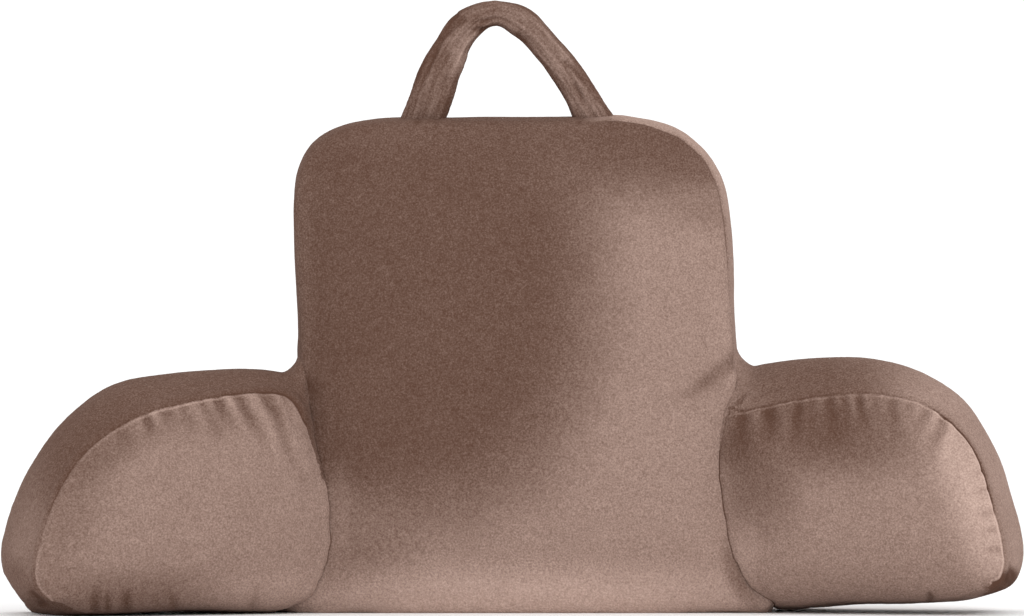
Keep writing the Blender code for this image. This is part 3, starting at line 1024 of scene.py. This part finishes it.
def plush(name):
    """Short-pile plush: its colour follows how the pile lies and the shade and highlights painted
    along its folds and seams, with a fine tufted grain.
    """
    settings = bpy.context.scene.pillow_plush
    material = bpy.data.materials.new("plush_" + name)
    material.use_nodes = True
    shade = Shade(material)
    shader = shade.nodes["Principled BSDF"]
    across = shade.attribute("across")
    blend = 0.0005  # half the width over which one pile changes to the other
    on_panel = shade.step(across, -blend, blend)
    panel, strip = shade.attribute("panel"), shade.attribute("strip")
    lie = shade.total((on_panel, shade.maths("SUBTRACT", panel, strip)), start=strip)
    # A thin line of painted shade along each seam's groove, and a painted highlight on the puffed
    # lip beside it.
    beside = shade.maths("ABSOLUTE", across)
    line = shade.step(beside, 0.0004, 0.0019, 1.0, 0.0)
    lip_place = 0.0022  # how far the puffed lip lies from the seam
    from_lip = shade.maths("ABSOLUTE", shade.maths("SUBTRACT", across, lip_place))
    lip = shade.step(from_lip, 0.0004, 0.0020, 1.0, 0.0)
    fine = shade.grain(settings.grain, 2.0, 0.7)
    clump = shade.grain(0.006, 2.0)
    blotch = shade.grain(0.045, 2.0)
    grain = shade.total((fine, 1.10), (clump, 0.22), (blotch, 0.10), start=-0.71)
    # The painted shade of folds, seams and the meeting with the back darkens the colour, and the
    # painted highlight on the lips lightens it.
    lie = shade.total(
        (lie, 0.6),
        (grain, 1.0),
        (shade.attribute("fold"), -0.24),
        (shade.maths("MULTIPLY", line, shade.attribute("line")), -0.50),
        (shade.maths("MULTIPLY", lip, shade.attribute("lip")), 0.35),
        start=0.2,
    )
    mix = shade.nodes.new("ShaderNodeMix")
    mix.data_type = "RGBA"
    # A full lie is two thirds of the way to the light colour, which leaves room for tufts.
    curved = shade.maths("POWER", shade.maths("MAXIMUM", lie, 0.0), 1.6)
    shade.link(shade.maths("MULTIPLY", curved, 0.667), mix.inputs["Factor"])
    mix.inputs["A"].default_value = (*settings.dark, 1.0)
    mix.inputs["B"].default_value = (*settings.light, 1.0)
    shade.link(mix.outputs["Result"], shader.inputs["Base Color"])
    shader.inputs["Roughness"].default_value = 0.95
    shader.inputs["Specular IOR Level"].default_value = 0.04
    shader.inputs["Sheen Weight"].default_value = settings.sheen
    shader.inputs["Sheen Roughness"].default_value = 0.5
    shader.inputs["Sheen Tint"].default_value = (0.70, 0.45, 0.36, 1.0)
    bump = shade.nodes.new("ShaderNodeBump")
    bump.inputs["Strength"].default_value = 0.7
    bump.inputs["Distance"].default_value = 0.0010
    shade.link(shade.total((fine, 1.0), (clump, 0.8)), bump.inputs["Height"])
    shade.link(bump.outputs["Normal"], shader.inputs["Normal"])
    return material


def plain_material(name, colour, roughness):
    """A plain matt surface for the stage."""
    material = bpy.data.materials.new(name)
    material.use_nodes = True
    shader = material.node_tree.nodes["Principled BSDF"]
    shader.inputs["Base Color"].default_value = (*colour, 1.0)
    shader.inputs["Roughness"].default_value = roughness
    return material


# ---- Operators ---------------------------------------------------------------------


class PILLOW_OT_back_cover(bpy.types.Operator):
    """Make the filled cover of the backrest"""

    bl_idname = "pillow.back_cover"
    bl_label = "Back cover"

    def execute(self, context):
        cover, front, rear = filled_cover(BACK)
        front, rear = shape_cover(BACK, cover, front, rear)
        finish_cover(BACK, cover, front, rear)
        spread_base(cover)
        return {"FINISHED"}


class PILLOW_OT_arm_covers(bpy.types.Operator):
    """Make the filled covers of both arms"""

    bl_idname = "pillow.arm_covers"
    bl_label = "Arm covers"

    def execute(self, context):
        solid = surface_of(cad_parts[node].data for node in BACK.nodes)
        wall = surface_of([bpy.data.objects[BACK.cover].data])
        for cushion in (ARM_LEFT, ARM_RIGHT):
            cover, front, rear = filled_cover(cushion, solid)
            front, rear = shape_cover(cushion, cover, front, rear)
            sew_to_back(cushion, cover, sewn_end(cushion.nodes[0], solid), wall)
            finish_cover(cushion, cover, front, rear, wall)
        return {"FINISHED"}


def loop_place(points):
    """(along, across): how far each point of the handle is round its bend, in metres
    from its top, and where it lies between the bend's inner (-1) and outer (1) side."""
    feet = points[points[:, 2] < points[:, 2].min() + 0.004]
    middle_x, middle_z = (feet[:, 0].min() + feet[:, 0].max()) / 2, feet[:, 2].min()
    dx, dz = points[:, 0] - middle_x, points[:, 2] - middle_z
    angle, radius = np.arctan2(dx, dz), np.hypot(dx, dz)
    cells = 60  # parts of the bend whose middle and width are found one by one
    edges = np.linspace(angle.min(), angle.max() + MERGE, cells + 1)
    cell = np.digitize(angle, edges) - 1
    centres = (edges[:-1] + edges[1:]) / 2
    inner = np.array([radius[cell == i].min() for i in range(cells)])
    outer = np.array([radius[cell == i].max() for i in range(cells)])
    middle = np.interp(angle, centres, (inner + outer) / 2)
    half = np.interp(angle, centres, (outer - inner) / 2)
    return angle * middle, (radius - middle) / half


def lengthened_feet(points):
    """The handle's points, with both feet drawn on in their own slant into the seam."""
    low = points[:, 2].min()
    hidden = 0.012  # how far a foot is drawn on
    up, band = 0.020, 0.004  # the slant is that from the foot's end to this far up
    points = points.copy()
    for side in (-1, 1):
        foot = side * points[:, 0] > 0
        sole = points[foot & (points[:, 2] < low + band)].mean(axis=0)
        ankle = points[foot & (np.abs(points[:, 2] - low - up) < band)].mean(axis=0)
        slant = (sole - ankle) / np.linalg.norm(sole - ankle)
        share = foot * (1 - ramp(points[:, 2], low + 0.001, low + 0.010))
        points += hidden * share[:, None] * slant
    return points


class PILLOW_OT_handle(bpy.types.Operator):
    """Make the soft carry handle"""

    bl_idname = "pillow.handle"
    bl_label = "Carry handle"

    def execute(self, context):
        cover = joined_copy("handle_cover", ("handle",))
        apply_modifier(cover, "REMESH", mode="VOXEL", voxel_size=0.0020)
        outline = outline_of(cover)
        move_to(cover, smoothed(points_of(cover), edges_of(cover), rounds=40))
        bring_back(cover, outline, rounds=150)
        apply_modifier(cover, "SUBSURF", levels=1, render_levels=1)
        points, normals = points_of(cover), normals_of(cover)
        along, across = loop_place(points)
        # Wrinkles run along the handle, so the noise is drawn out that way.
        stretched = np.column_stack([along, across, points[:, 1]]) / (0.035, 0.30, 0.008)
        wrinkles = clumps(stretched, 1.0, 6)
        lumps = clumps(points, 0.016, 7)
        fine = clumps(stretched * (1.7, 2.6, 2.2), 1.0, 8)
        folds = crease_relief(points, HANDLE_CREASES, ramp(-normals[:, 1], -0.3, 0.3))
        relief = 0.0009 * wrinkles + 0.0003 * fine + 0.0004 * lumps + folds
        moved = lengthened_feet(points)
        for s in HANDLE_SWELLS:
            far = np.hypot(moved[:, 0] - s.x, moved[:, 2] - s.z)
            relief += s.height * np.exp(-((far / s.radius) ** 2))
        moved += normals * relief[:, None]
        move_to(cover, moved)
        # The pile is painted lighter on the wrinkles' ridges and darker in their valleys.
        pile = pile_lie_and_shade(moved, HANDLE_PILE, HANDLE_NAP_AND_SHADE) + 0.32 * wrinkles + 0.32 * fine
        pile -= 0.45 * ramp(np.abs(across), 0.6, 1.0)  # painted shade where it turns away
        dress(
            cover,
            "plush_handle",
            ("handle",),
            0.5,
            panel=pile,
            strip=pile,
            across=np.ones(len(points)),
            line=np.zeros(len(points)),
            lip=np.zeros(len(points)),
            # Painted shade in the creases and painted light on their ridges.
            fold=np.clip(-folds / FULL_FOLD, -1, 1),
        )
        return {"FINISHED"}


FLOOR_SIZE = 60.0
AIM = Vector((-0.00185, -0.03266, 0.2736))  # what the camera looks at


def soft_light(name, place, target, size, power):
    """A square soft light that looks at the target."""
    data = bpy.data.lights.new(name, "AREA")
    data.shape = "SQUARE"
    data.size = size
    data.energy = power
    lamp = bpy.data.objects.new(name, data)
    lamp.location = place
    lamp.rotation_euler = (Vector(target) - Vector(place)).to_track_quat("-Z", "Y").to_euler()
    bpy.context.scene.collection.objects.link(lamp)


class PILLOW_OT_stage(bpy.types.Operator):
    """Add the pale floor, the soft lights and the camera"""

    bl_idname = "pillow.stage"
    bl_label = "Studio stage"

    def execute(self, context):
        settings = context.scene.pillow_stage
        bpy.ops.object.select_all(action="DESELECT")
        bpy.ops.mesh.primitive_plane_add(size=FLOOR_SIZE, location=(0.0, 0.0, 0.0))
        floor = context.object
        floor.name = "floor"
        floor.data.materials.append(plain_material("stage_white", settings.floor, 0.9))

        middle = (cad_low + cad_high) / 2
        soft_light("key", (1.6, -2.2, 1.9), middle, 1.2, settings.key)
        soft_light("fill", (-1.2, -3.2, 0.9), middle, 2.0, settings.fill)

        scene = context.scene
        scene.view_settings.view_transform = "Standard"
        scene.world = bpy.data.worlds.new("studio")
        scene.world.use_nodes = True
        background = scene.world.node_tree.nodes["Background"]
        background.inputs["Color"].default_value = (1.0, 1.0, 1.0, 1.0)
        background.inputs["Strength"].default_value = settings.daylight

        data = bpy.data.cameras.new("camera")
        data.sensor_width = 36.0
        data.lens = settings.focal
        data.clip_end = 100.0
        camera = bpy.data.objects.new("camera", data)
        scene.collection.objects.link(camera)
        camera.location = (AIM.x, AIM.y - settings.distance, settings.camera_height)
        camera.rotation_euler = (AIM - camera.location).to_track_quat("-Z", "Y").to_euler()
        scene.camera = camera
        return {"FINISHED"}


class PILLOW_PT_sidebar(bpy.types.Panel):
    """The pillow's settings and steps"""

    bl_label = "Reading pillow"
    bl_idname = "PILLOW_PT_sidebar"
    bl_space_type = "VIEW_3D"
    bl_region_type = "UI"
    bl_category = "Pillow"

    def draw(self, context):
        layout = self.layout
        for settings in (
            context.scene.pillow_cover,
            context.scene.pillow_plush,
            context.scene.pillow_stage,
        ):
            for name in settings.bl_rna.properties.keys():
                if name not in ("rna_type", "name"):
                    layout.prop(settings, name)
        for operator in OPERATORS:
            layout.operator(operator.bl_idname)


OPERATORS = (
    PILLOW_OT_back_cover,
    PILLOW_OT_arm_covers,
    PILLOW_OT_handle,
    PILLOW_OT_stage,
)
CLASSES = (CoverSettings, PlushSettings, StageSettings, *OPERATORS, PILLOW_PT_sidebar)


def register():
    for cls in CLASSES:
        bpy.utils.register_class(cls)
    bpy.types.Scene.pillow_cover = PointerProperty(type=CoverSettings)
    bpy.types.Scene.pillow_plush = PointerProperty(type=PlushSettings)
    bpy.types.Scene.pillow_stage = PointerProperty(type=StageSettings)


def unregister():
    del bpy.types.Scene.pillow_stage
    del bpy.types.Scene.pillow_plush
    del bpy.types.Scene.pillow_cover
    for cls in reversed(CLASSES):
        bpy.utils.unregister_class(cls)


def main():
    register()
    bpy.ops.pillow.back_cover()
    bpy.ops.pillow.arm_covers()
    bpy.ops.pillow.handle()
    bpy.ops.pillow.stage()


if __name__ == "__main__":
    main()
